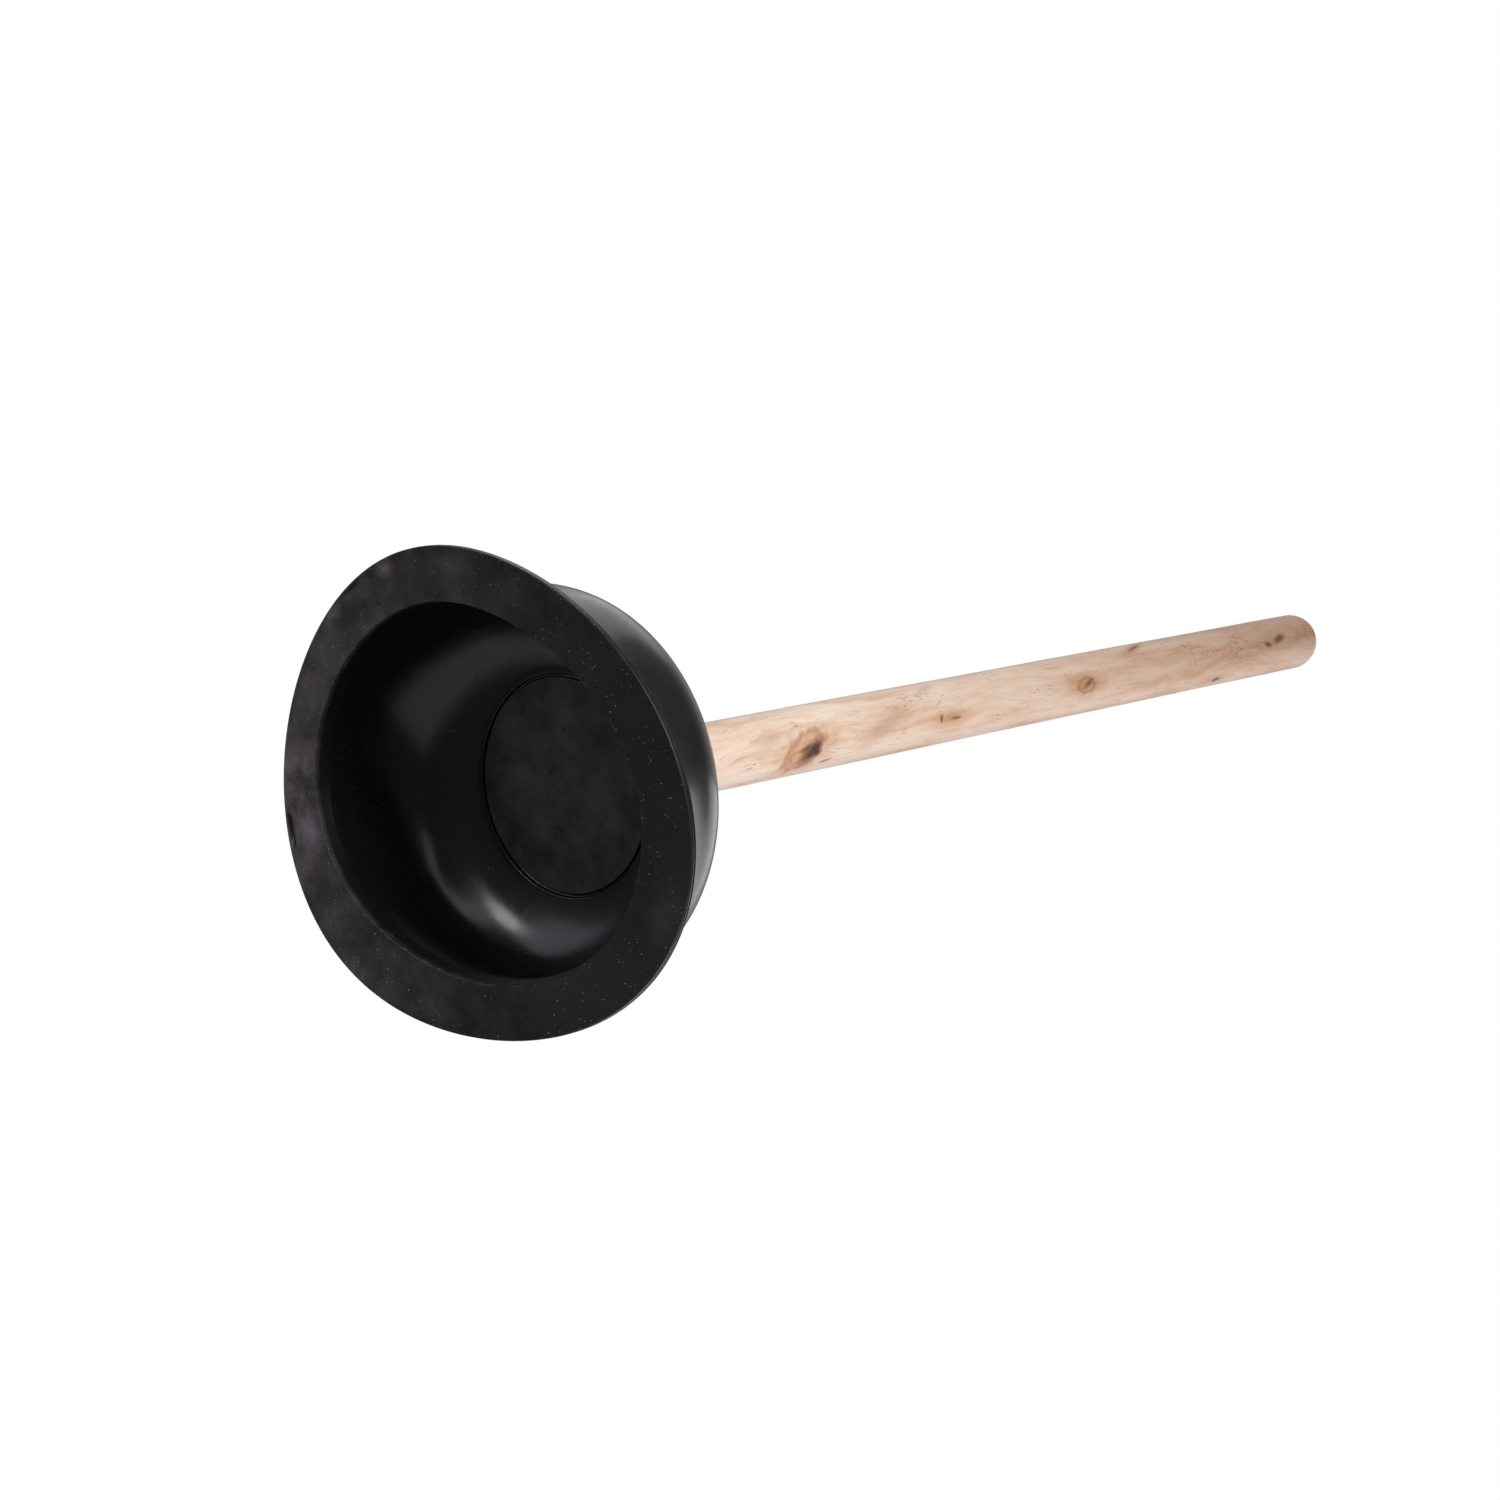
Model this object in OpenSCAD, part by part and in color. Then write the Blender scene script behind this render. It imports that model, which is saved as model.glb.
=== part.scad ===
// Force-cup plunger: a moulded rubber cup on a round wooden handle.
// Millimetres. Z runs up the handle, and the flat face of the lip lies on z = 0.
// The cup is one moulding. It is drawn as two nodes: the skirt, which is the lip on the drain and the bell wall that
// flexes above it, and the crown with its neck, which rides down with the handle.

/* [Lip] */
// Outside diameter of the flat lip
lip_d = 150; // [120:1:180]
// Diameter of the open mouth inside the lip
mouth_d = 116.8; // [90:0.2:140]
// Height of the lip at its outer edge
lip_t = 7.5; // [6:0.5:12]
// Rounding between the lip's flat face and its outer edge
lip_face_r = 3.2; // [1:0.1:4]
// Rounding between the lip's outer edge and its back
lip_back_r = 2; // [0.5:0.1:2.5]
// Rise of the lip's back from the outer edge to the bell wall
lip_back_rise = 3.5; // [1:0.5:6]
// Rounding of the mouth's sharp inner edge
mouth_edge_r = 0.8; // [0.3:0.1:1.5]

/* [Bell] */
// Outside diameter of the bell wall
bell_d = 122; // [100:1:136]
// Thickness of the bell wall at its middle
wall_t = 4; // [2.5:0.5:6]
// Height of the outside of the crown above the lip's face
crown_h = 57; // [48:1:75]
// Height of the flat disc inside the crown above the lip's face
ceiling_h = 44.5; // [36:0.5:60]
// How square the outside shoulder is, from 0.3 (square) to 1 (round)
shoulder_out = 0.42; // [0.3:0.01:1]
// How square the inside corner is, from 0.3 (square) to 1 (round)
shoulder_in = 0.5; // [0.35:0.01:1]

/* [Crown and neck] */
// Diameter of the crown disc that rides with the handle
disc_d = 64; // [50:1:80]
// Outside diameter of the neck
neck_d = 35; // [30:1:44]
// Height of the neck's rim above the lip's face
neck_top = 84; // [76:1:110]
// Outside diameter of the bead around the neck's rim
bead_d = 38; // [32:1:48]
// Height of the bead around the neck's rim
bead_h = 8; // [4:0.5:12]
// Radius of the fillet between the crown and the neck
neck_fillet = 7; // [3:0.5:9]
// Rubber left between the crown disc and the bottom of the socket
socket_floor = 7.5; // [4:0.5:12]
// Width of the lead-in around the socket's mouth
socket_lead = 1; // [0.4:0.1:2]

/* [Handle] */
// Diameter of the wooden handle
handle_d = 22; // [18:0.5:26]
// Height of the handle's free end above the lip's face
handle_top = 498; // [300:1:700]
// How far the surface of the end in the socket lies under the surface of the shaft
tenon_step = 0.4; // [0.2:0.1:1.5]
// Chamfer on the end of the handle inside the socket
tenon_chamfer = 1.5; // [0.5:0.1:3]

/* [Clearances] */
// Radial gap between the handle and the socket
socket_gap = 0.05; // [0.02:0.01:0.1]
// Gap under the end of the handle, and under the shaft's shoulder, when the handle is home
seat_gap = 0.3; // [0.1:0.1:1]
// Gap between the crown disc and the roof of the bell, where the moulding flexes
flex_gap = 0.3; // [0.2:0.1:0.6]

/* [Quality] */
// Segments on a full circle
$fn = 96; // [48:8:160]

/* [Hidden] */

lip_r = lip_d / 2;
mouth_r = mouth_d / 2;
bell_r = bell_d / 2;
disc_r = disc_d / 2;
neck_r = neck_d / 2;
bead_r = bead_d / 2;
handle_r = handle_d / 2;
tenon_r = handle_r - tenon_step;
socket_r = tenon_r + socket_gap;
socket_bottom = ceiling_h + socket_floor;
cavity_r = bell_r - wall_t;             // inside radius of the bell wall
lip_top = lip_t + lip_back_rise;        // height where the lip ends and the bell wall begins
root_w = min(3, max(0.2, (lip_r - lip_back_r - bell_r) * 0.3)); // fillet at the wall's root, limited by the lip's back
bell_z0 = lip_top + root_w;             // height at which the outside shoulder curve starts
arc_steps = 5;
shoulder_steps = 14;
hole_r = disc_r + flex_gap;             // round hole in the roof of the bell, around the crown disc

// Points on an arc about (cx, cz), from angle a0 to angle a1 in degrees
function arc(cx, cz, r, a0, a1, n = arc_steps) =
    [for (i = [0 : n]) let (a = a0 + (a1 - a0) * i / n) [cx + r * cos(a), cz + r * sin(a)]];

// Share of a superellipse's full height that it has reached at radius r, from 0 at radius r0 to 1 on the axis
function rise(r, r0, e) = pow(sin(acos(pow(r / r0, 1 / e))), e);

// Height of the crown's outside at radius r
function crown_z(r) = bell_z0 + (crown_h - bell_z0) * rise(r, bell_r, shoulder_out);

// Shoulder from the bell wall inwards to radius r1: [radius, height] by angle, so that the steep part is well covered
function shoulder(r0, z0, h, e, r1, n = shoulder_steps) =
    let (t1 = acos(pow(r1 / r0, 1 / e)))
    [for (i = [0 : n]) let (t = t1 * i / n) [r0 * pow(cos(t), e), z0 + (h - z0) * pow(sin(t), e)]];

// Height on the axis that the inside corner curve aims at, so that it meets the disc's height at the hole
cavity_apex = lip_top + (ceiling_h - lip_top) / rise(hole_r, cavity_r, shoulder_in);

function reversed(list) = [for (i = [len(list) - 1 : -1 : 0]) list[i]];

// Flat lip, bell wall and the outer part of the roof, with a round hole for the crown disc
module cup_skirt() {
    color([0.06, 0.06, 0.065])
    rotate_extrude()
    polygon(concat(
        // outer edge of the lip, from its flat face round to its back
        arc(lip_r - lip_face_r, lip_face_r, lip_face_r, -90, 0),
        arc(lip_r - lip_back_r, lip_t - lip_back_r, lip_back_r, 0, 75),
        // fillet at the root of the wall
        reversed(arc(bell_r + root_w, bell_z0, root_w, 180, 270, 3)),
        // outside of the shoulder, then back down the inside
        shoulder(bell_r, bell_z0, crown_h, shoulder_out, hole_r),
        reversed(shoulder(cavity_r, lip_top, cavity_apex, shoulder_in, hole_r)),
        // mouth of the cup
        [[mouth_r, mouth_edge_r + 1.5]],
        arc(mouth_r + mouth_edge_r, mouth_edge_r, mouth_edge_r, 180, 270, 3)
    ));
}

// Crown disc and the neck with its blind socket
module cup_crown() {
    fillet_z = crown_z(neck_r + neck_fillet) + neck_fillet;
    color([0.09, 0.09, 0.095])
    difference() {
        rotate_extrude()
        polygon(concat(
            [[0, ceiling_h], [disc_r, ceiling_h], [disc_r, crown_z(disc_r)]],
            // crown, fillet and neck
            reversed(arc(neck_r + neck_fillet, fillet_z, neck_fillet, 180, 270)),
            [[neck_r, neck_top - bead_h - (bead_r - neck_r)],
             [bead_r, neck_top - bead_h],
             [bead_r, neck_top - 2]],
            arc(bead_r - 2, neck_top - 2, 2, 0, 90),
            [[0, neck_top]]
        ));
        translate([0, 0, socket_bottom])
            cylinder(r = socket_r, h = neck_top - socket_bottom + 1);
        translate([0, 0, neck_top - socket_lead])
            cylinder(r1 = socket_r, r2 = socket_r + socket_lead + 0.1, h = socket_lead + 0.1);
    }
}

// Round wooden handle: chamfered end in the socket, straight shaft, hemispherical free end
module handle() {
    foot_z = socket_bottom + seat_gap;
    shaft_z = neck_top + seat_gap;
    color([0.85, 0.73, 0.6])
    union() {
        translate([0, 0, foot_z])
            cylinder(r1 = tenon_r - tenon_chamfer, r2 = tenon_r, h = tenon_chamfer);
        translate([0, 0, foot_z + tenon_chamfer])
            cylinder(r = tenon_r, h = shaft_z - foot_z - tenon_chamfer + 1);
        translate([0, 0, shaft_z])
            cylinder(r = handle_r, h = handle_top - handle_r - shaft_z);
        translate([0, 0, handle_top - handle_r])
            intersection() {
                sphere(r = handle_r);
                translate([-handle_r - 1, -handle_r - 1, 0])
                    cube([2 * handle_r + 2, 2 * handle_r + 2, handle_r + 1]);
            }
    }
}

cup_skirt();
cup_crown();
handle();
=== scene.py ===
"""Force-cup plunger: a moulded rubber cup on a bare wooden handle, dressed around its CAD frame.

Lengths are metres in the row frame: Z runs up the handle, and the CAD lip lies on Z = 0. Sizes of the
pieces are millimetres, turned to metres with MM where they are used. A pattern's scale is in cells per
metre, and the comment beside it gives the size that it makes.
"""

from __future__ import annotations

import logging
import math
from collections.abc import Mapping, Sequence
from dataclasses import dataclass
from enum import Enum

import bpy
import numpy as np
from mathutils import Matrix, Vector

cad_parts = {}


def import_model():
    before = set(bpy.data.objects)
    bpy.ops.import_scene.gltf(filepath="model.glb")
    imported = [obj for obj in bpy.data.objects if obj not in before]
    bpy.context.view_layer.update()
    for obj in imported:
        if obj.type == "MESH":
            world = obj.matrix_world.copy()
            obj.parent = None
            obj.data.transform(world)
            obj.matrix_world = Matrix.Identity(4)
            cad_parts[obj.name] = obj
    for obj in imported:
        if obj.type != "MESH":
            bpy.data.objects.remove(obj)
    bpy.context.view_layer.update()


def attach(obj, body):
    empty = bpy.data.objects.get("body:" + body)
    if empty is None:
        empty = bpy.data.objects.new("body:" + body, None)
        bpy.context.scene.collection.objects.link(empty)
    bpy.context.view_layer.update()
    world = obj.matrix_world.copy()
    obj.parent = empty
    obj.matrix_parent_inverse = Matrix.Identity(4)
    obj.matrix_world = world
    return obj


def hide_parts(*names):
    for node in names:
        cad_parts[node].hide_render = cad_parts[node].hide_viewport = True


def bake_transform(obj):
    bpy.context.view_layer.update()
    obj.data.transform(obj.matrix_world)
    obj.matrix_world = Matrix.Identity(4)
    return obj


MM = 0.001
WHITE = (1.0, 1.0, 1.0, 1.0)
VIOLET = (1.0, 0.93, 1.06)  # tint of the weak lamps below
Tree = bpy.types.NodeTree
Socket = bpy.types.NodeSocket
LOG = logging.getLogger("plunger")


def linear(code: str) -> tuple[float, float, float, float]:
    """Turns an sRGB hex colour to linear RGBA.

    Args:
        code: colour as "#rrggbb".

    Returns:
        Linear red, green, blue and an alpha of 1.
    """
    parts = [int(code[i : i + 2], 16) / 255 for i in (1, 3, 5)]
    return (*[p / 12.92 if p <= 0.04045 else ((p + 0.055) / 1.055) ** 2.4 for p in parts], 1.0)


def add_node(
    tree: Tree,
    kind: str,
    settings: Mapping | None = None,
    links: Mapping | None = None,
    stops: Sequence[tuple[float, str]] = (),
) -> bpy.types.Node:
    """Adds one node with its settings and its incoming links.

    Args:
        tree: node tree that gets the node.
        kind: Blender's name for the type of node.
        settings: values by property name, or by input name or number.
        links: output sockets by the input name or number they feed.
        stops: colour ramp stops as (position, hex colour).

    Returns:
        The new node.
    """
    node = tree.nodes.new(kind)
    for key, value in (settings or {}).items():
        if isinstance(key, str) and key not in node.inputs:
            setattr(node, key, value)
        else:
            node.inputs[key].default_value = value
    for key, socket in (links or {}).items():
        tree.links.new(socket, node.inputs[key])
    for i, (position, code) in enumerate(stops):
        elements = node.color_ramp.elements
        stop = elements[i] if i < 2 else elements.new(position)
        stop.position = position
        stop.color = linear(code)
    return node


def smoothstep(low: float, high: float, value: np.ndarray) -> np.ndarray:
    """Eases from 0 at low to 1 at high: 3t^2 - 2t^3 of the clamped share t of the way between them.

    Args:
        low: value that gives 0.
        high: value that gives 1.
        value: array of values.

    Returns:
        Array of shares from 0 to 1.
    """
    t = np.clip((value - low) / (high - low), 0.0, 1.0)
    return t * t * (3.0 - 2.0 * t)


def straight(start: tuple[float, float], end: tuple[float, float], count: int) -> np.ndarray:
    """Points evenly along a line, both ends included, as (radius, height) rows."""
    return np.linspace(start, end, count)


def arc(centre: tuple[float, float], radius: float, turn: tuple[float, float], count: int) -> np.ndarray:
    """Points on a circular arc.

    Args:
        centre: (radius, height) of the arc's centre.
        radius: the arc's own radius.
        turn: first and last angle in degrees, 0 pointing away from the axis.
        count: number of points.

    Returns:
        (radius, height) rows: centre + radius * (cos, sin) of evenly spaced angles.
    """
    angle = np.radians(np.linspace(*turn, count))
    return np.stack([centre[0] + radius * np.cos(angle), centre[1] + radius * np.sin(angle)], axis=1)


def shoulder(wall: float, low: float, high: float, square: float, inner: float, count: int) -> np.ndarray:
    """A superellipse from a vertical wall over to a flat top.

    Args:
        wall: radius of the wall.
        low: height where the curve leaves the wall.
        high: height that it reaches on the axis.
        square: exponent of cosine and sine; a smaller one gives a squarer corner.
        inner: radius at which the curve stops.
        count: number of points.

    Returns:
        (radius, height) rows: wall * cos^square, low + (high - low) * sin^square.
    """
    last = math.acos((inner / wall) ** (1.0 / square))
    angle = np.linspace(0.0, last, count)
    return np.stack([wall * np.cos(angle) ** square, low + (high - low) * np.sin(angle) ** square], axis=1)


def revolve(
    name: str, rings: np.ndarray, start: np.ndarray, end: np.ndarray, marks: Mapping[str, np.ndarray]
) -> bpy.types.Object:
    """Makes a closed mesh from rings of points, with a point closing each end.

    Neighbouring rings are joined by quads and each end by a fan of triangles. The sign of the volume that
    the quads sweep about the origin says whether the faces point outwards, and they are turned round if not.

    Args:
        name: name of the object.
        rings: array of (ring, around, 3) points in metres.
        start: the point that closes the first ring.
        end: the point that closes the last ring.
        marks: named values for each ring and angle, kept as point attributes.

    Returns:
        The object, at the origin, with its faces pointing outwards.
    """
    count, around = rings.shape[:2]
    points = np.concatenate([rings.reshape(-1, 3), start[None], end[None]])
    index = np.arange(count * around).reshape(count, around)
    turned = np.roll(index, -1, axis=1)
    quads = np.stack([index[:-1], turned[:-1], turned[1:], index[1:]], axis=-1).reshape(-1, 4)
    first = np.stack([np.full(around, count * around), turned[0], index[0]], axis=-1)
    last = np.stack([np.full(around, count * around + 1), index[-1], turned[-1]], axis=-1)
    a, b, c, d = (points[quads[:, i]] for i in range(4))
    volume = np.einsum("ij,ij->i", a, np.cross(b, c)).sum() + np.einsum("ij,ij->i", a, np.cross(c, d)).sum()
    if volume < 0:
        quads, first, last = quads[:, ::-1], first[:, ::-1], last[:, ::-1]
    mesh = bpy.data.meshes.new(name)
    mesh.from_pydata(points, [], [*quads.tolist(), *first.tolist(), *last.tolist()])
    mesh.polygons.foreach_set("use_smooth", np.ones(len(mesh.polygons), dtype=bool))
    for mark, values in marks.items():
        table = values.reshape(count, -1)
        flat = np.concatenate([table.reshape(-1), table[0, :1], table[-1, :1]])
        mesh.attributes.new(mark, "FLOAT", "POINT").data.foreach_set("value", flat.astype(np.float32))
    rest = mesh.attributes.new("rest_place", "FLOAT_VECTOR", "POINT")
    rest.data.foreach_set("vector", points.astype(np.float32).ravel())
    mesh.update()
    obj = bpy.data.objects.new(name, mesh)
    bpy.context.scene.collection.objects.link(obj)
    return obj


@dataclass(frozen=True)
class Waves:
    """An uneven ring: millimetres added round it, as a sum of (lobes, cosine part, sine part)."""

    terms: tuple[tuple[int, float, float], ...]

    def at(self, angle: np.ndarray) -> np.ndarray:
        """Metres added at each angle: the sum of c*cos(n*angle) + s*sin(n*angle) over the terms."""
        total = sum(c * np.cos(n * angle) + s * np.sin(n * angle) for n, c, s in self.terms)
        return total * MM


@dataclass(frozen=True)
class CuredRubber:
    """Black carbon-filled natural rubber, compression moulded.

    The polished mould leaves the bell and the inside glossy with slow ripples. The lip's face was trimmed and
    has been on the floor, so it is matt, with grey bloom, smears and pale dust; the bloom also carries
    painted sheen that makes the lip's far side lighter. The roof disc is mottled and scuffed.
    """

    name: str = "black_natural_rubber_compression_moulded"
    gloss_hex: str = "#191619"  # the moulded skin
    face_hex: str = "#0f0c0e"  # the trimmed face of the lip
    disc_hex: str = "#474248"  # mottle on the roof disc
    scuff_hex: str = "#0b0a0b"  # scuffs and hairlines, darker than the skin
    bloom_and_sheen_hex: str = "#837c81"  # wax and dirt dried on the lip, and the painted sheen of its lighter far side
    cut_hex: str = "#5d5a57"  # torn rubber along the mouth
    dust_hex: str = "#c9c2b6"
    ior: float = 1.52
    gloss_roughness: float = 0.2
    face_roughness: float = 0.36
    smear_scale: float = 75.0  # smears 13 mm across, broken up by 2 mm blotches
    torn_scale: float = 260.0  # stretches 4 mm long
    dust_scale: float = 850.0  # one grain at most, 0.3 mm across, in each 1.2 mm
    drift_scale: float = 95.0  # drifts of dust 10 mm across
    fleck_scale: float = 520.0  # flecks of 1 to 2 mm inside a scuff
    bend_scale: float = 60.0  # hairlines wander over 17 mm
    bend_wide: float = 0.003  # and by 3 mm
    hair_scale: float = 105.0  # cells 9 mm across, whose edges are the hairlines
    stretch_scale: float = 120.0  # hairlines kept in stretches of 8 mm
    rub_scale: float = 160.0  # rubbed patches of 6 mm in the gloss
    ripple_scale: float = 30.0  # ripples of the moulded skin, 33 mm long
    tooth_scale: float = 1300.0  # tooth of the trimmed face, 0.8 mm
    disc_height: float = 44.5  # of the roof disc, in mm
    # scuffs on the roof disc: x, y and size in mm
    scuffs: tuple[tuple[float, float, float], ...] = ((-6.0, 3.3, 3.5), (12.5, 4.6, 4.0))

    def material(self) -> bpy.types.Material:
        """Builds the rubber: its colour in layers, then its gloss and its relief.

        Returns:
            The new material.
        """
        mat = bpy.data.materials.new(self.name)
        mat.use_nodes = True
        tree = mat.node_tree
        tree.nodes.clear()
        place = add_node(tree, "ShaderNodeAttribute", {"attribute_name": "rest_place"}).outputs["Vector"]
        marks = {
            mark: add_node(tree, "ShaderNodeAttribute", {"attribute_name": mark}).outputs["Fac"]
            for mark in ("lip_face", "bloom_and_sheen", "cut_edge", "roof_disc")
        }
        smear = add_node(
            tree,
            "ShaderNodeTexNoise",
            {"Scale": self.smear_scale, "Detail": 8.0, "Roughness": 0.66},
            {"Vector": place},
        ).outputs["Fac"]
        worn = self.wear(tree, place)
        shader = add_node(
            tree,
            "ShaderNodeBsdfPrincipled",
            {"IOR": self.ior},
            {
                "Base Color": self.colour(tree, place, marks, smear, worn),
                "Roughness": self.roughness(tree, place, marks["lip_face"], smear, worn),
                "Normal": self.relief(tree, place, marks["lip_face"], worn),
            },
        )
        add_node(tree, "ShaderNodeOutputMaterial", {}, {"Surface": shader.outputs[0]})
        return mat

    def colour(
        self, tree: Tree, place: Socket, marks: Mapping[str, Socket], smear: Socket, worn: Socket
    ) -> Socket:
        """Lays the colours over each other: skin and face, disc mottle, bloom with its painted sheen, torn
        edge, dust, and wear.

        Args:
            tree: the material's node tree.
            place: place at rest, in metres.
            marks: the mesh's own masks by name.
            smear: noise of the smears.
            worn: share of scuffs and hairlines.

        Returns:
            The colour.
        """
        blotch = add_node(
            tree,
            "ShaderNodeMapRange",
            {"From Min": 0.38, "From Max": 0.7, "To Min": 0.2, "To Max": 1.0},
            {"Value": smear},
        ).outputs["Result"]
        # torn rubber shows paler in broken stretches along the trimmed mouth
        torn = add_node(
            tree,
            "ShaderNodeTexNoise",
            {"Scale": self.torn_scale, "Detail": 4.0},
            {"Vector": place},
        )
        broken = add_node(
            tree,
            "ShaderNodeMapRange",
            {"From Min": 0.5, "From Max": 0.62, "To Max": 0.18},
            {"Value": torn.outputs["Fac"]},
        ).outputs["Result"]
        shares = [
            add_node(tree, "ShaderNodeMath", {"operation": "MULTIPLY"}, {0: pattern, 1: mask}).outputs[0]
            for pattern, mask in (
                (blotch, marks["roof_disc"]),
                (blotch, marks["bloom_and_sheen"]),
                (broken, marks["cut_edge"]),
            )
        ]
        shares += [self.dust(tree, place, marks["lip_face"]), worn]
        colour = add_node(
            tree,
            "ShaderNodeMix",
            {"data_type": "RGBA", 6: linear(self.gloss_hex), 7: linear(self.face_hex)},
            {0: marks["lip_face"]},
        ).outputs[2]
        # the bloom layer is dried wax and dirt together with painted sheen on the lip's far side
        layers = (self.disc_hex, self.bloom_and_sheen_hex, self.cut_hex, self.dust_hex, self.scuff_hex)
        for share, code in zip(shares, layers):
            colour = add_node(
                tree, "ShaderNodeMix", {"data_type": "RGBA", 7: linear(code)}, {0: share, 6: colour}
            ).outputs[2]
        return colour

    def dust(self, tree: Tree, place: Socket, face: Socket) -> Socket:
        """Strews pale grains in drifts, thick on the lip's face and thin elsewhere.

        Args:
            tree: the material's node tree.
            place: place at rest, in metres.
            face: 1 on the lip's face.

        Returns:
            Share of dust.
        """
        cells = add_node(tree, "ShaderNodeTexVoronoi", {"Scale": self.dust_scale}, {"Vector": place})
        grain = add_node(
            tree,
            "ShaderNodeMapRange",
            {"From Min": 0.17, "From Max": 0.07, "To Max": 1.0},
            {"Value": cells.outputs["Distance"]},
        ).outputs["Result"]
        chance = add_node(tree, "ShaderNodeSeparateColor", {}, {0: cells.outputs["Color"]})
        drift = add_node(
            tree,
            "ShaderNodeTexNoise",
            {"Scale": self.drift_scale, "Detail": 2.0},
            {"Vector": place},
        )
        needed = add_node(
            tree,
            "ShaderNodeMapRange",
            {"From Min": 0.4, "From Max": 0.62, "To Min": 0.9, "To Max": 0.2},
            {"Value": drift.outputs["Fac"]},
        ).outputs["Result"]
        kept = add_node(
            tree, "ShaderNodeMath", {"operation": "GREATER_THAN"}, {0: chance.outputs[0], 1: needed}
        ).outputs[0]
        thick = add_node(
            tree,
            "ShaderNodeMapRange",
            {"To Min": 0.12, "To Max": 1.0},
            {"Value": face},
        ).outputs["Result"]
        share = grain
        for factor in (kept, chance.outputs[1], thick):
            share = add_node(
                tree, "ShaderNodeMath", {"operation": "MULTIPLY"}, {0: share, 1: factor}
            ).outputs[0]
        return share

    def wear(self, tree: Tree, place: Socket) -> Socket:
        """Joins the scuffed spots on the roof disc with hairlines.

        The hairlines are the cell edges of a warped pattern, kept in short stretches.

        Args:
            tree: the material's node tree.
            place: place at rest, in metres.

        Returns:
            Share of wear.
        """
        bend = add_node(
            tree,
            "ShaderNodeTexNoise",
            {"Scale": self.bend_scale, "Detail": 3.0},
            {"Vector": place},
        )
        bent = add_node(
            tree,
            "ShaderNodeVectorMath",
            {"operation": "MULTIPLY_ADD", 1: (self.bend_wide,) * 3},
            {0: bend.outputs["Color"], 2: place},
        )
        cells = add_node(
            tree,
            "ShaderNodeTexVoronoi",
            {"feature": "DISTANCE_TO_EDGE", "Scale": self.hair_scale},
            {"Vector": bent.outputs[0]},
        )
        line = add_node(
            tree,
            "ShaderNodeMapRange",
            {"From Min": 0.016, "From Max": 0.004},
            {"Value": cells.outputs["Distance"]},
        )
        stretch = add_node(
            tree,
            "ShaderNodeTexNoise",
            {"Scale": self.stretch_scale, "Detail": 2.0},
            {"Vector": place},
        )
        kept = add_node(
            tree, "ShaderNodeMapRange", {"From Min": 0.6, "From Max": 0.68}, {"Value": stretch.outputs["Fac"]}
        )
        worn = add_node(
            tree, "ShaderNodeMath", {"operation": "MULTIPLY"}, {0: line.outputs[0], 1: kept.outputs[0]}
        ).outputs[0]
        fleck = add_node(
            tree,
            "ShaderNodeTexNoise",
            {"Scale": self.fleck_scale, "Detail": 3.0},
            {"Vector": place},
        )
        flecked = add_node(
            tree, "ShaderNodeMapRange", {"From Min": 0.52, "From Max": 0.6}, {"Value": fleck.outputs["Fac"]}
        )
        for x, y, size in self.scuffs:
            spot = add_node(
                tree,
                "ShaderNodeVectorMath",
                {"operation": "DISTANCE", 1: (x * MM, y * MM, self.disc_height * MM)},
                {0: place},
            )
            near = add_node(
                tree,
                "ShaderNodeMapRange",
                {"From Min": size * MM, "From Max": 0.2 * size * MM},
                {"Value": spot.outputs["Value"]},
            )
            scuff = add_node(
                tree,
                "ShaderNodeMath",
                {"operation": "MULTIPLY"},
                {0: near.outputs["Result"], 1: flecked.outputs[0]},
            )
            worn = add_node(
                tree,
                "ShaderNodeMath",
                {"operation": "MAXIMUM"},
                {0: worn, 1: scuff.outputs[0]},
            ).outputs[0]
        return worn

    def roughness(self, tree: Tree, place: Socket, face: Socket, smear: Socket, worn: Socket) -> Socket:
        """Polished skin, duller where it is rubbed or worn, and a matt face, dullest in its smears.

        Args:
            tree: the material's node tree.
            place: place at rest, in metres.
            face: 1 on the lip's face.
            smear: noise of the smears.
            worn: share of scuffs and hairlines.

        Returns:
            The roughness.
        """
        rub = add_node(
            tree,
            "ShaderNodeTexNoise",
            {"Scale": self.rub_scale, "Detail": 6.0, "Roughness": 0.7},
            {"Vector": place},
        )
        gloss = add_node(
            tree,
            "ShaderNodeMapRange",
            {
                "From Min": 0.35,
                "From Max": 0.75,
                "To Min": self.gloss_roughness,
                "To Max": self.gloss_roughness + 0.08,
            },
            {"Value": rub.outputs["Fac"]},
        )
        skin = add_node(
            tree, "ShaderNodeMath", {"operation": "MULTIPLY_ADD", 1: 0.2}, {0: worn, 2: gloss.outputs[0]}
        )
        matt = add_node(
            tree,
            "ShaderNodeMapRange",
            {
                "From Min": 0.3,
                "From Max": 0.7,
                "To Min": self.face_roughness,
                "To Max": self.face_roughness + 0.16,
            },
            {"Value": smear},
        )
        return add_node(
            tree, "ShaderNodeMix", {}, {0: face, 2: skin.outputs[0], 3: matt.outputs["Result"]}
        ).outputs[0]

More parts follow.
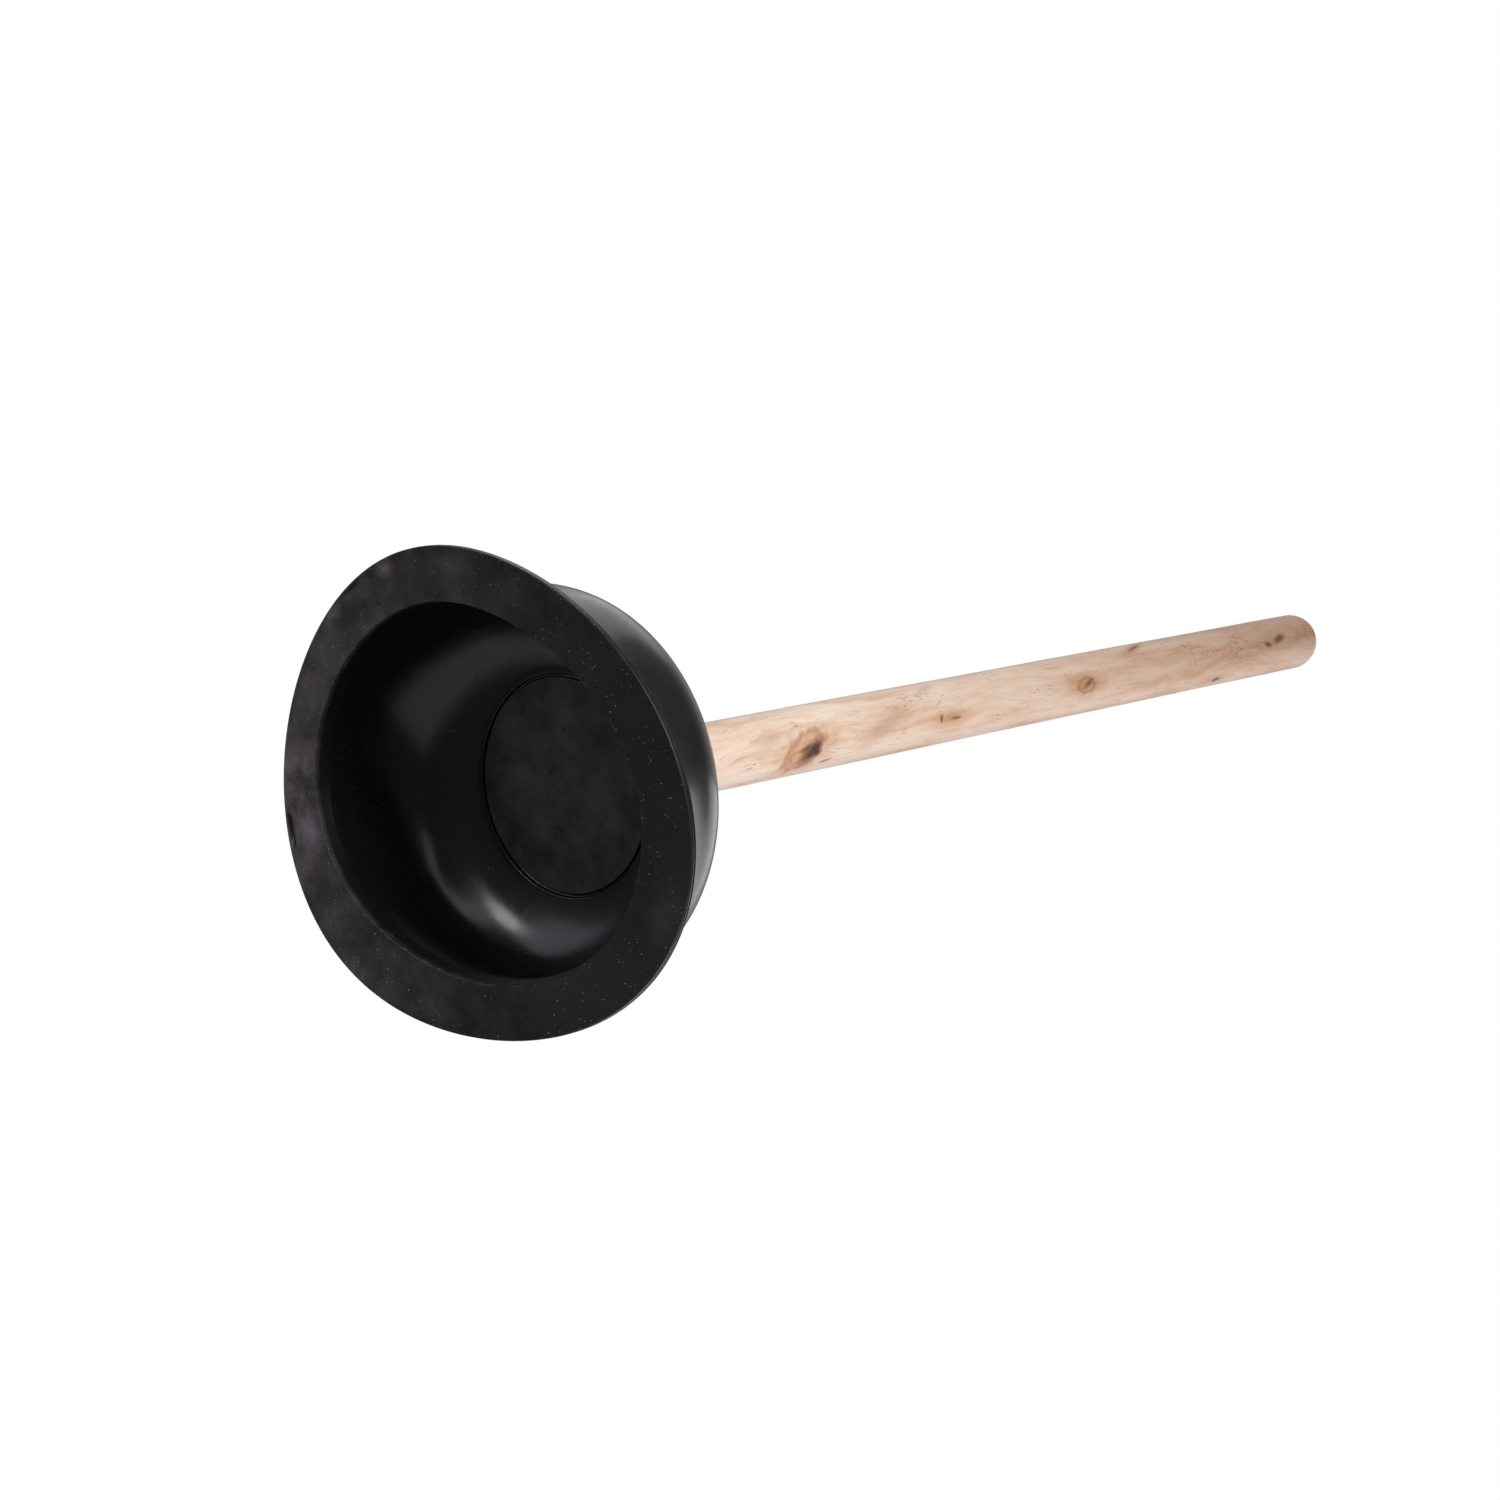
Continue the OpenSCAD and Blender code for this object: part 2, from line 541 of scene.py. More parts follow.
    def relief(self, tree: Tree, place: Socket, face: Socket, worn: Socket) -> Socket:
        """Stacks the slow ripples of the skin, the shallow cuts of the wear and the tooth of the lip's face.

        Args:
            tree: the material's node tree.
            place: place at rest, in metres.
            face: 1 on the lip's face.
            worn: share of scuffs and hairlines.

        Returns:
            The normal.
        """
        ripple = add_node(
            tree,
            "ShaderNodeTexNoise",
            {"Scale": self.ripple_scale, "Detail": 1.0},
            {"Vector": place},
        )
        tooth = add_node(
            tree,
            "ShaderNodeTexNoise",
            {"Scale": self.tooth_scale, "Detail": 4.0},
            {"Vector": place},
        )
        rough = add_node(
            tree,
            "ShaderNodeMath",
            {"operation": "MULTIPLY"},
            {0: tooth.outputs["Fac"], 1: face},
        )
        rippled = add_node(
            tree, "ShaderNodeBump", {"Strength": 0.6, "Distance": 0.0005}, {"Height": ripple.outputs["Fac"]}
        )
        cut = add_node(
            tree,
            "ShaderNodeBump",
            {"invert": True, "Strength": 0.2, "Distance": 0.0001},
            {"Height": worn, "Normal": rippled.outputs[0]},
        )
        return add_node(
            tree,
            "ShaderNodeBump",
            {"Strength": 0.5, "Distance": 0.00012},
            {"Height": rough.outputs[0], "Normal": cut.outputs[0]},
        ).outputs[0]


class Figure(Enum):
    """A kind of mark in the wood: colour, strength, and where its shade starts and is full, in half sizes."""

    HEART = ("#3a2016", 0.92, 1.4, 0.6)
    BARK = ("#6d3a22", 0.8, 1.45, 0.5)
    RING = ("#a35c36", 0.5, 0.3, 0.04)
    HALO = ("#bd8552", 0.7, 1.35, 0.35)
    STAIN = ("#b08061", 0.4, 1.4, 0.2)


@dataclass(frozen=True)
class Mark:
    """A mark on the dowel: millimetres up, degrees round, half sizes in millimetres, lean in degrees."""

    figure: Figure
    height: float
    angle: float
    half_wide: float
    half_tall: float
    lean: float = 0.0


@dataclass(frozen=True)
class SandedDowel:
    """Pale birch, turned to a dowel and sanded, with no varnish.

    Fibres run up the stick between broad pink and cream bands, with short brown pores in drifts. The knots
    have a dark heart, a red-brown ring and an orange halo, and the fibres bend round them.
    """

    name: str = "pale_birch_turned_and_sanded"
    cream_hex: str = "#efdccb"
    pink_hex: str = "#e9ccb6"
    tan_hex: str = "#d9b79b"
    falloff_shade_hex: str = "#e3bfa6"  # painted shade: multiplies the colour of the far half, darker towards the tip where the light falls off
    fibre_hex: str = "#b4825f"
    pore_hex: str = "#8f6446"
    roughness: float = 0.5
    ior: float = 1.5
    wander_scale: float = 14.0  # the fibres wander over 70 mm
    wander_wide: tuple[float, float, float] = (0.012, 0.012, 0.03)  # by a few mm, and more along it
    ragged_scale: float = 330.0  # the marks' outlines are ragged at 3 mm
    ragged_deep: float = 0.9  # by this share of their half size
    band_scale: tuple[float, float, float] = (160.0, 160.0, 20.0)  # bands 6 mm wide and 50 mm long
    # fibres 0.8 mm wide, coarser than real ones, so that they show
    fibre_scale: tuple[float, float, float] = (1250.0, 1250.0, 60.0)
    pore_scale: tuple[float, float, float] = (1500.0, 1500.0, 300.0)  # dashes of 0.6 mm by 3 mm
    drift_scale: tuple[float, float, float] = (130.0, 130.0, 45.0)  # in drifts 8 mm wide and 20 mm long
    falloff_shade_span: tuple[float, float] = (0.15, 0.5)  # metres up the stick where the painted shade of the light's falloff starts and is darkest
    mark_deep: float = 9.0  # how far a mark reaches into the wood, in mm
    # how far a halo pushes the fibres aside, in metres
    knot_push: tuple[float, float, float] = (0.0, 0.002, 0.004)
    marks: tuple[Mark, ...] = (
        Mark(Figure.HALO, 148.0, -66.0, 6.6, 15.0, 12.0),
        Mark(Figure.RING, 147.0, -68.0, 5.0, 9.5, 20.0),
        Mark(Figure.RING, 143.5, -60.0, 2.0, 3.4, 10.0),
        Mark(Figure.BARK, 150.6, -64.0, 2.7, 6.0, 30.0),
        Mark(Figure.HEART, 151.5, -64.5, 1.5, 4.0, 31.0),
        Mark(Figure.HEART, 153.6, -61.0, 1.0, 1.6, 5.0),
        Mark(Figure.BARK, 148.0, -72.0, 0.9, 3.6, 12.0),
        Mark(Figure.STAIN, 131.0, -100.0, 2.6, 9.0),
        Mark(Figure.BARK, 160.0, -40.0, 0.4, 2.8, 8.0),
        Mark(Figure.STAIN, 184.0, -72.0, 3.6, 10.0, 10.0),
        Mark(Figure.STAIN, 196.0, -95.0, 3.0, 12.0, 16.0),
        Mark(Figure.HALO, 228.0, -74.0, 2.6, 11.0),
        Mark(Figure.BARK, 222.5, -77.0, 1.4, 0.8),
        Mark(Figure.BARK, 231.0, -73.0, 0.5, 3.0),
        Mark(Figure.STAIN, 221.0, -141.0, 1.6, 7.0, 12.0),
        Mark(Figure.HALO, 315.0, -84.0, 4.4, 12.0),
        Mark(Figure.RING, 314.5, -84.0, 2.6, 5.2),
        Mark(Figure.BARK, 315.5, -86.0, 0.9, 3.0, 24.0),
        Mark(Figure.BARK, 358.0, -146.0, 0.7, 5.5, 14.0),
        Mark(Figure.HALO, 356.0, -143.0, 2.2, 12.0, 14.0),
        Mark(Figure.HALO, 411.0, -38.0, 2.4, 13.0),
        Mark(Figure.HEART, 412.0, -36.0, 1.1, 2.5),
        Mark(Figure.BARK, 386.0, -12.0, 0.8, 3.5),
        Mark(Figure.STAIN, 456.0, -99.0, 4.4, 12.0, 8.0),
        Mark(Figure.BARK, 460.0, -101.0, 1.3, 4.5, 10.0),
        Mark(Figure.BARK, 450.0, -93.0, 0.9, 2.6, -12.0),
        Mark(Figure.STAIN, 492.0, -112.0, 4.0, 6.0),
        Mark(Figure.HALO, 268.0, 62.0, 4.0, 12.0),
        Mark(Figure.BARK, 268.0, 60.0, 1.2, 3.2, 20.0),
        Mark(Figure.STAIN, 120.0, 118.0, 2.8, 10.0),
        Mark(Figure.HALO, 405.0, 140.0, 4.0, 10.0),
        Mark(Figure.RING, 405.0, 140.0, 2.4, 4.8),
    )

    def material(self, radius: float) -> bpy.types.Material:
        """Builds the wood.

        Args:
            radius: radius of the dowel in metres, on which the marks lie.

        Returns:
            The new material.
        """
        mat = bpy.data.materials.new(self.name)
        mat.use_nodes = True
        tree = mat.node_tree
        tree.nodes.clear()
        place = add_node(tree, "ShaderNodeTexCoord").outputs["Object"]
        wander = add_node(
            tree,
            "ShaderNodeTexNoise",
            {"Scale": self.wander_scale, "Detail": 3.0},
            {"Vector": place},
        )
        grain = add_node(
            tree,
            "ShaderNodeVectorMath",
            {"operation": "MULTIPLY_ADD", 1: self.wander_wide},
            {0: wander.outputs["Color"], 2: place},
        ).outputs[0]
        ragged = add_node(
            tree,
            "ShaderNodeTexNoise",
            {"Scale": self.ragged_scale, "Detail": 4.0, "Roughness": 0.6},
            {"Vector": place},
        )
        frayed = add_node(
            tree,
            "ShaderNodeMath",
            {"operation": "MULTIPLY_ADD", 1: self.ragged_deep, 2: -self.ragged_deep / 2},
            {0: ragged.outputs["Fac"]},
        ).outputs[0]
        shades = [(mark.figure, self.shade(tree, place, frayed, mark, radius)) for mark in self.marks]
        for push in (shade for figure, shade in shades if figure is Figure.HALO):
            pushed = add_node(
                tree,
                "ShaderNodeVectorMath",
                {"operation": "SCALE", 0: self.knot_push},
                {"Scale": push},
            )
            grain = add_node(
                tree, "ShaderNodeVectorMath", {"operation": "ADD"}, {0: grain, 1: pushed.outputs[0]}
            ).outputs[0]
        colour, fibre = self.timber(tree, place, grain)
        for figure in (Figure.HALO, Figure.STAIN, Figure.RING, Figure.BARK, Figure.HEART):
            for shade in (shade for kind, shade in shades if kind is figure):
                colour = add_node(
                    tree,
                    "ShaderNodeMix",
                    {"data_type": "RGBA", 7: linear(figure.value[0])},
                    {0: shade, 6: colour},
                ).outputs[2]
        bump = add_node(tree, "ShaderNodeBump", {"Strength": 0.3, "Distance": 0.00015}, {"Height": fibre})
        shader = add_node(
            tree,
            "ShaderNodeBsdfPrincipled",
            {"IOR": self.ior, "Roughness": self.roughness},
            {"Base Color": colour, "Normal": bump.outputs[0]},
        )
        add_node(tree, "ShaderNodeOutputMaterial", {}, {"Surface": shader.outputs[0]})
        return mat

    def shade(self, tree: Tree, place: Socket, frayed: Socket, mark: Mark, radius: float) -> Socket:
        """Shades one mark: a ragged ellipsoid on the dowel's skin, or only the rim of one for a ring.

        Args:
            tree: the material's node tree.
            place: place in metres.
            frayed: unevenness of the outline, in half sizes.
            mark: the mark.
            radius: radius of the dowel in metres.

        Returns:
            Share of the mark's colour.
        """
        _, strength, start, full = mark.figure.value
        turn = math.radians(mark.angle)
        local = add_node(
            tree,
            "ShaderNodeMapping",
            {
                "vector_type": "TEXTURE",
                "Location": (radius * math.cos(turn), radius * math.sin(turn), mark.height * MM),
                "Rotation": (math.radians(mark.lean), 0.0, turn),
                "Scale": (self.mark_deep * MM, mark.half_wide * MM, mark.half_tall * MM),
            },
            {"Vector": place},
        )
        far = add_node(tree, "ShaderNodeVectorMath", {"operation": "LENGTH"}, {0: local.outputs[0]})
        reach = add_node(
            tree, "ShaderNodeMath", {"operation": "ADD"}, {0: far.outputs["Value"], 1: frayed}
        ).outputs[0]
        if mark.figure is Figure.RING:
            inward = add_node(tree, "ShaderNodeMath", {"operation": "SUBTRACT", 1: 1.0}, {0: reach})
            reach = add_node(
                tree, "ShaderNodeMath", {"operation": "ABSOLUTE"}, {0: inward.outputs[0]}
            ).outputs[0]
        return add_node(
            tree,
            "ShaderNodeMapRange",
            {"From Min": start, "From Max": full, "To Max": strength},
            {"Value": reach},
        ).outputs["Result"]

    def timber(self, tree: Tree, place: Socket, grain: Socket) -> tuple[Socket, Socket]:
        """Draws the plain wood: bands, fibres over them, pores in drifts, and painted shade darkening the far
        half.

        Args:
            tree: the material's node tree.
            place: place in metres.
            grain: place in metres, bent along the fibres.

        Returns:
            The colour, and the noise of the fibres.
        """
        noises = []
        for scale, detail, roughness, way in (
            (self.band_scale, 6.0, 0.62, grain),
            (self.fibre_scale, 4.0, 0.6, grain),
            (self.pore_scale, 2.0, 0.5, grain),
            (self.drift_scale, 3.0, 0.5, place),
        ):
            stretched = add_node(tree, "ShaderNodeMapping", {"Scale": scale}, {"Vector": way})
            noises.append(
                add_node(
                    tree,
                    "ShaderNodeTexNoise",
                    {"Scale": 1.0, "Detail": detail, "Roughness": roughness},
                    {"Vector": stretched.outputs[0]},
                ).outputs["Fac"]
            )
        band, fibre, pore, drift = noises
        colour = add_node(
            tree,
            "ShaderNodeValToRGB",
            {},
            {"Fac": band},
            stops=((0.36, self.tan_hex), (0.60, self.cream_hex), (0.47, self.pink_hex)),
        ).outputs[0]
        streaks = add_node(
            tree, "ShaderNodeMapRange", {"From Min": 0.5, "From Max": 0.8, "To Max": 0.3}, {"Value": fibre}
        ).outputs["Result"]
        dashes = add_node(
            tree, "ShaderNodeMapRange", {"From Min": 0.55, "From Max": 0.68, "To Max": 0.75}, {"Value": pore}
        )
        drifts = add_node(tree, "ShaderNodeMapRange", {"From Min": 0.5, "From Max": 0.7}, {"Value": drift})
        pores = add_node(
            tree, "ShaderNodeMath", {"operation": "MULTIPLY"}, {0: drifts.outputs[0], 1: dashes.outputs[0]}
        ).outputs[0]
        # painted shade: the far half darkens towards the tip, as the light falls off along the handle
        height = add_node(tree, "ShaderNodeSeparateXYZ", {}, {0: place}).outputs[2]
        start, end = self.falloff_shade_span
        brown = add_node(
            tree, "ShaderNodeMapRange", {"From Min": start, "From Max": end, "To Max": 0.6}, {"Value": height}
        ).outputs[0]
        for share, code, blend in (
            (streaks, self.fibre_hex, "MIX"),
            (pores, self.pore_hex, "MIX"),
            (brown, self.falloff_shade_hex, "MULTIPLY"),
        ):
            colour = add_node(
                tree,
                "ShaderNodeMix",
                {"data_type": "RGBA", "blend_type": blend, 7: linear(code)},
                {0: share, 6: colour},
            ).outputs[2]
        return colour, fibre


@dataclass
class RubberCup:
    """The moulded cup: lip, bell, crown and neck in one skin. Sizes are millimetres."""

    around: int = 448
    face_height: float = 5.4
    lip_radius: float = 74.7
    lip_edge: float = 2.0
    rim_corner: float = 0.25
    ridge_heights: tuple[float, float] = (0.9, 1.75)  # of the two parting ridges, above the lip's face
    ridge_out: float = 0.07
    mouth_radius: float = 58.4
    mouth_corner: float = 0.15
    ragged_out: float = 0.2  # how far the mouth's trim wanders outwards
    ragged_down: float = 0.08  # and downwards
    bell_radius: float = 61.0
    bell_foot: float = 16.0
    bell_square: float = 0.42  # exponent of the outer wall's superellipse
    cavity_radius: float = 57.2
    cavity_square: float = 0.56  # and of the inner wall's
    cavity_foot: float = 4.5  # height above the lip's face where the inner wall starts to curve
    ceiling: float = 44.5
    crown_top: float = 57.0
    disc_radius: float = 32.0
    groove_wide: float = 1.2
    groove_deep: float = 1.5
    neck_radius: float = 17.5
    neck_fillet: float = 7.0
    bead_radius: float = 19.0
    bead_tall: float = 8.0
    neck_top: float = 84.0
    socket_radius: float = 10.66
    socket_floor: float = 52.0
    thread_pitch: float = 5.0
    thread_deep: float = 1.0
    core_offset: tuple[float, float] = (0.0, -1.0)  # x and y of the crown disc's middle
    lip_offset: tuple[float, float] = (-3.0, -1.15)  # x and y of the lip's middle
    # how far the lip's outer and inner edges stand out of flat, and out of round
    outer_height: Waves = Waves(((2, 0.1, -5.0), (3, 0.35, -0.1)))
    inner_height: Waves = Waves(((2, 0.6, -2.3), (3, -0.35, 0.8)))
    outer_radius: Waves = Waves(((2, -3.6, -3.5),))
    inner_radius: Waves = Waves(((2, -3.1, -3.6),))
    # bloom all over the lip: mean, sine part and cosine part round it; the mean is dried wax and dirt, the
    # rise round it is painted sheen on the lip's far (+Y) side
    bloom_and_sheen_even: tuple[float, float, float] = (0.145, 0.155, -0.07)
    smudges: tuple[tuple[float, float, float, float], ...] = (  # radius, degrees round, size, strength
        (71.0, 153.0, 4.5, 1.0),
        (72.0, 165.0, 3.0, 0.9),
        (72.0, 143.0, 3.5, 0.85),
        (67.0, 96.0, 18.0, 1.0),
        (68.0, 125.0, 12.0, 0.5),
        (68.0, 67.0, 7.0, 0.5),
        (72.0, 52.0, 6.0, 0.45),
        (71.0, 30.0, 5.0, 0.4),
        (70.0, -170.0, 8.0, 0.3),
        (70.0, -55.0, 5.0, 0.25),
    )
    # degrees round, distance inside the edge, width in degrees, depth
    nicks: tuple[tuple[float, float, float, float], ...] = ((90.0, 1.9, 3.6, 0.9), (152.0, 1.4, 3.0, 0.3))
    nick_across: float = 0.9  # half width of a nick across the lip
    # heights between which the skin passes from the bell to the crown
    blend_low: float = 9.0
    blend_high: float = 46.5

    def profile(self) -> tuple[np.ndarray, np.ndarray]:
        """Draws the cup's section from the middle of the crown disc over the lip to the socket's floor.

        Returns:
            (radius, height) rows in millimetres, and a mask that is 1 on the lip's flat face.
        """
        section = np.concatenate([self.roof(), self.inside(), self.lip(), self.outside()])
        base = self.face_height
        mask = smoothstep(self.mouth_radius - 0.7, self.mouth_radius - 0.2, section[:, 0])
        near_mouth = section[:, 0] < self.mouth_radius + 2.0
        matt_top = np.where(near_mouth, base + 2.0, base + 0.9)
        mask *= 1.0 - smoothstep(0.0, 1.0, (section[:, 1] - base - 0.1) / (matt_top - base - 0.1))
        return section, mask

    def roof(self) -> np.ndarray:
        """The crown disc's underside and the moulded groove round it, with close rings at each corner.

        Returns:
            (radius, height) rows in millimetres.
        """
        disc, roof = self.disc_radius, self.ceiling
        groove, deep = disc + self.groove_wide, roof + self.groove_deep
        return np.concatenate(
            [
                straight((1.0, roof), (disc - 1.6, roof), 8),
                straight((disc - 0.9, roof), (disc - 0.4, roof), 2),
                arc((disc - 0.15, roof + 0.15), 0.15, (-90, 0), 3),
                straight((disc, deep - 0.2), (disc + 0.2, deep), 2),
                straight((groove - 0.2, deep), (groove, deep - 0.2), 2),
                straight((groove, roof + 0.15), (groove + 0.15, roof), 2),
                straight((groove + 0.4, roof), (groove + 0.9, roof), 2),
            ]
        )

    def inside(self) -> np.ndarray:
        """The inner wall: a superellipse whose top meets the roof, down to the cavity's foot.

        Returns:
            (radius, height) rows in millimetres.
        """
        reach = self.disc_radius + self.groove_wide + 1.4
        low = self.face_height + self.cavity_foot
        lean = math.acos((reach / self.cavity_radius) ** (1.0 / self.cavity_square))
        apex = low + (self.ceiling - low) / math.sin(lean) ** self.cavity_square
        return shoulder(self.cavity_radius, low, apex, self.cavity_square, reach, 40)[::-1]

    def lip(self) -> np.ndarray:
        """The lip: sharp mouth, flat face, small outer corner, upright edge with two ridges, and its back.

        Returns:
            (radius, height) rows in millimetres.
        """
        base, rim, mouth = self.face_height, self.lip_radius, self.mouth_radius
        corner, ridge = self.rim_corner, self.ridge_out
        first, second = self.ridge_heights
        edge_top = base + self.lip_edge
        edge = [
            (rim, base + 0.45),
            (rim, base + first - 0.15),
            (rim + ridge, base + first),
            (rim, base + first + 0.15),
            (rim, base + 1.3),
            (rim, base + second - 0.15),
            (rim + ridge, base + second),
            (rim, base + second + 0.15),
        ]
        return np.concatenate(
            [
                straight(
                    (self.cavity_radius + 0.1, base + self.cavity_foot - 0.3), (mouth - 0.25, base + 0.9), 5
                ),
                arc((mouth + 0.05, base + 0.05), self.mouth_corner, (180, 270), 4),
                straight((mouth + 0.9, base), (rim - 4.2, base), 10),
                straight((rim - 3.6, base), (rim - 0.6, base), 7),
                arc((rim - corner, base + corner), corner, (-90, -8), 5),
                np.array(edge),
                arc((rim - 0.12, edge_top), 0.12, (0, 55), 3),
                straight((rim - 0.2, edge_top + 0.2), (rim - 0.5, edge_top + 0.45), 2),
                straight((rim - 2.0, edge_top + 1.2), (self.bell_radius + 3.6, self.bell_foot - 2.4), 5),
            ]
        )

    def outside(self) -> np.ndarray:
        """The outer skin: fillet, bell and crown, the neck with its bead, and the socket to its floor.

        Returns:
            (radius, height) rows in millimetres.
        """
        bell = shoulder(self.bell_radius, self.bell_foot, self.crown_top, self.bell_square, 26.0, 40)
        neck, top, fillet = self.neck_radius, self.neck_top, self.neck_fillet
        foot = neck + fillet
        high = float(np.interp(foot, bell[::-1, 0], bell[::-1, 1]))
        bead, bead_foot = self.bead_radius, top - self.bead_tall
        socket, floor = self.socket_radius, self.socket_floor
        return np.concatenate(
            [
                arc((self.bell_radius + 3.4, self.bell_foot + 1.0), 3.4, (262, 184), 6),
                bell[1:],
                arc((foot, high + fillet), fillet, (262, 182), 9),
                straight((neck, high + fillet + 1.0), (neck, bead_foot - 2.0), 3),
                arc((bead - 1.2, bead_foot + 1.0), 1.2, (-60, 0), 4),
                arc((bead - 1.8, top - 1.8), 1.8, (0, 90), 6),
                arc((socket + 1.4, top - 0.8), 0.8, (90, 180), 4),
                straight((socket, top - 1.8), (socket, floor + 1.0), 34),
                straight((socket - 1.2, floor), (1.0, floor), 3),
            ]
        )

    def surface(self) -> tuple[np.ndarray, dict[str, np.ndarray]]:
        """Turns the section round the axis and pulls the lip out of true.

        The lip's height and radius errors are waves round the ring, blended from the mouth's edge to the
        outer edge, and fade up the bell wall. The crown disc's core pin sat a millimetre off the axis. The
        socket wall is cut by a coarse helix, the mouth's edge is slightly ragged, and the lip has nicks.

        Returns:
            (section, around, 3) points in metres and the point attributes.
        """
        section, mask = self.profile()
        angle = np.linspace(0.0, math.tau, self.around, endpoint=False)[None, :]
        radius, height = section[:, :1], section[:, 1:]
        out = np.clip((radius - self.mouth_radius) / (self.lip_radius - self.mouth_radius), 0.0, 1.0)
        fade = 1.0 - smoothstep(self.face_height + 4.0, 38.0, height)
        lift = fade * ((1 - out) * self.inner_height.at(angle) + out * self.outer_height.at(angle))
        swell = fade * ((1 - out) * self.inner_radius.at(angle) + out * self.outer_radius.at(angle))
        ragged = self.ragged(angle)
        edge = np.exp(-(((radius - self.mouth_radius) / 0.5) ** 2)) * (height < self.face_height + 1.5)
        dent, bare = self.dents(radius, height, angle)
        swell = swell + edge * ragged * self.ragged_out * MM + self.thread(radius, height, angle) * MM
        lift = lift - edge * np.abs(ragged) * self.ragged_down * MM + dent * MM
        pin = (radius < 46.0) * (height > 40.0) * (height < self.ceiling + 2.0)
        pin = pin * (1.0 - smoothstep(self.disc_radius + 2.0, 45.0, radius))
        turned = radius * MM + swell
        x = turned * np.cos(angle) + (fade * self.lip_offset[0] + pin * self.core_offset[0]) * MM
        y = turned * np.sin(angle) + (fade * self.lip_offset[1] + pin * self.core_offset[1]) * MM
        z = height * MM + lift
        face = mask[:, None] * (1.0 - bare)
        cut = np.exp(-(((radius - self.mouth_radius) / 0.7) ** 2)) * (height < self.face_height + 1.0)
        disc = (radius < self.disc_radius + 0.1) * (height > 40.0) * (height < self.ceiling + 1.0)
        marks = {
            "lip_face": face,
            # bloom: dried wax and dirt, with painted sheen lightening the lip's far side
            "bloom_and_sheen": face * self.bloom_and_sheen(radius, angle),
            "cut_edge": np.broadcast_to(cut, x.shape),
            "roof_disc": np.broadcast_to(disc * 1.0, x.shape),
        }
        return np.stack([x, y, z], axis=-1), marks

    def ragged(self, angle: np.ndarray) -> np.ndarray:
        """The mouth's uneven trim: the mean of sines with 23 to 149 lobes, each of a random phase and size.

        Args:
            angle: (1, around) angles.

        Returns:
            (1, around) offsets, within about 1 each way.
        """
        rng = np.random.default_rng(7)
        lobes = np.arange(23, 150, 9)
        phase = rng.uniform(0, math.tau, lobes.size)
        size = rng.uniform(0.2, 1.0, lobes.size)
        return (np.sin(lobes[:, None] * angle + phase[:, None]).T @ size / lobes.size)[None, :]

    def dents(
        self, radius: np.ndarray, height: np.ndarray, angle: np.ndarray
    ) -> tuple[np.ndarray, np.ndarray]:
        """Presses the nicks into the lip's face: a bell curve across each, and a flatter one along it.

        Args:
            radius: (section, 1) radii.
            height: (section, 1) heights.
            angle: (1, around) angles.

        Returns:
            Depth in millimetres, and how bare of bloom the rubber is there.
        """
        face_only = height < self.face_height + 0.05
        total = np.zeros_like(radius * angle)
        bare = np.zeros_like(total)
        for where, inside, wide, deep in self.nicks:
            gap = (np.degrees(angle) - where + 180.0) % 360.0 - 180.0
            across = np.exp(-(((radius - self.lip_radius + inside) / self.nick_across) ** 2))
            dent = face_only * across * np.exp(-((gap / wide) ** 4)) * deep
            total = total + dent
            bare = np.maximum(bare, np.clip(dent / 0.3, 0.0, 1.0))
        return total, bare

    def thread(self, radius: np.ndarray, height: np.ndarray, angle: np.ndarray) -> np.ndarray:
        """Cuts the socket's wall: depth * (0.5 + 0.5 cos(turns - angle))^2, fading out at both ends.

        Args:
            radius: (section, 1) radii.
            height: (section, 1) heights.
            angle: (1, around) angles.

        Returns:
            Depth in millimetres.
        """
        wall = (radius < self.socket_radius + 0.1) & (height > self.socket_floor + 0.5)
        helix = 0.5 + 0.5 * np.cos(math.tau * height / self.thread_pitch - angle)
        ends = smoothstep(self.socket_floor + 1.0, self.socket_floor + 4.0, height)
        ends = ends * (1.0 - smoothstep(self.neck_top - 5.0, self.neck_top - 2.5, height))
        return wall * ends * helix**2 * self.thread_deep

    def bloom_and_sheen(self, radius: np.ndarray, angle: np.ndarray) -> np.ndarray:
        """Spreads bloom over the lip: a veil that varies as a sine round it, and smudges over the veil. The
        veil is dried wax and dirt, and its rise towards +Y is painted sheen that makes the lip's far side
        lighter.

        Args:
            radius: (section, 1) radii.
            angle: (1, around) angles.

        Returns:
            (section, around) shares of bloom, with painted sheen on the far side.
        """
        mean, sine, cosine = self.bloom_and_sheen_even
        bloom_and_sheen = np.broadcast_to(mean + sine * np.sin(angle) + cosine * np.cos(angle), (radius * angle).shape)
        for where, spot, size, most in self.smudges:
            dx = radius - where
            dy = self.lip_radius * ((angle - math.radians(spot) + math.pi) % math.tau - math.pi)
            bloom_and_sheen = np.maximum(bloom_and_sheen, most * np.exp(-((dx / size) ** 2) - (dy / (1.6 * size)) ** 2))
        return bloom_and_sheen

    def build(self, finish: CuredRubber) -> bpy.types.Object:
        """Makes the cup and dresses it.

        Args:
            finish: the rubber.

        Returns:
            The cup.
        """
        points, marks = self.surface()
        start = np.array([self.core_offset[0], self.core_offset[1], self.ceiling]) * MM
        end = np.array([0.0, 0.0, self.socket_floor]) * MM
        cup = revolve("rubber_cup", points, start, end, marks)
        cup.data.materials.append(finish.material())
        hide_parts("cup_skirt", "cup_crown")
        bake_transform(cup)
        lowest = points[..., 2].min() / MM
        LOG.info("rubber_cup: %d faces, lowest point %.2f mm", len(cup.data.polygons), lowest)
        return cup


